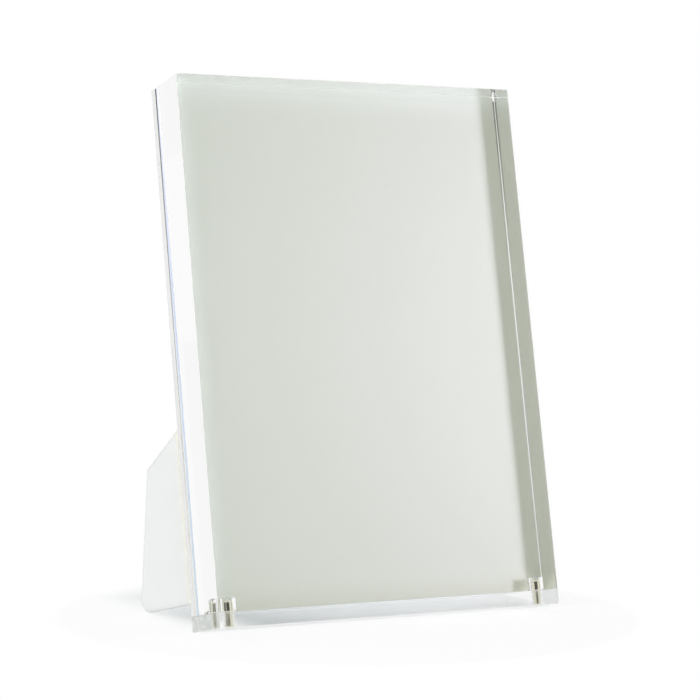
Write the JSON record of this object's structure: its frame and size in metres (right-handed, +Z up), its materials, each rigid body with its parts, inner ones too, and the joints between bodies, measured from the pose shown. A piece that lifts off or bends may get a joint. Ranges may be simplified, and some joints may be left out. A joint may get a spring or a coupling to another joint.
{
  "type": "acrylic photo frame",
  "caption": "Leaning tabletop photo frame: a thick clear block on locating pins in a clear foot bar, sheets behind it, a clear back, and folding frosted easel wings.",
  "frame": {"origin": "on the table, under the middle of the object's outer box", "axes": "+Z up, the picture faces -Y, +X to the right as the picture is looked at"},
  "size_m": [0.128, 0.0734, 0.1838],
  "materials": {
    "clear_acrylic": "clear, polished",
    "bright_metal": "polished",
    "insert_paper": "smooth, uncoated",
    "mount_board": "matt, white core",
    "frosted_plastic": "frosted, translucent",
    "foam_tape": "matt foam"
  },
  "bodies": {
    "stand": {"base_bar": "clear_acrylic", "back_panel": "clear_acrylic", "left_pin": "bright_metal", "right_pin": "bright_metal", "easel_panel": "frosted_plastic", "left_tape": "foam_tape", "right_tape": "foam_tape"},
    "front_block": {"front_block": "clear_acrylic"},
    "photo_card": {"photo_card": "insert_paper"},
    "backing_board": {"backing_board": "mount_board"},
    "left_wing": {"left_wing": "frosted_plastic"},
    "right_wing": {"right_wing": "frosted_plastic"}
  },
  "joints": [
    {"name": "front_block_lift", "type": "slide", "parent": "stand", "child": "front_block", "axis": [0, 0.2079, 0.9781], "range_m": [0, 0.04]},
    {"name": "photo_card_slide", "type": "slide", "parent": "stand", "child": "photo_card", "axis": [0, 0.2079, 0.9781], "range_m": [0, 0.12]},
    {"name": "backing_board_slide", "type": "slide", "parent": "stand", "child": "backing_board", "axis": [0, 0.2079, 0.9781], "range_m": [0, 0.12]},
    {"name": "left_wing_fold", "type": "hinge", "parent": "stand", "child": "left_wing", "pos_m": [-0.06, -0.00388, 0.03851], "axis": [0, 0.2079, 0.9781], "range_deg": [-90, 0]},
    {"name": "right_wing_fold", "type": "hinge", "parent": "stand", "child": "right_wing", "pos_m": [0.06, -0.00388, 0.03851], "axis": [0, 0.2079, 0.9781], "range_deg": [0, 90]}
  ]
}
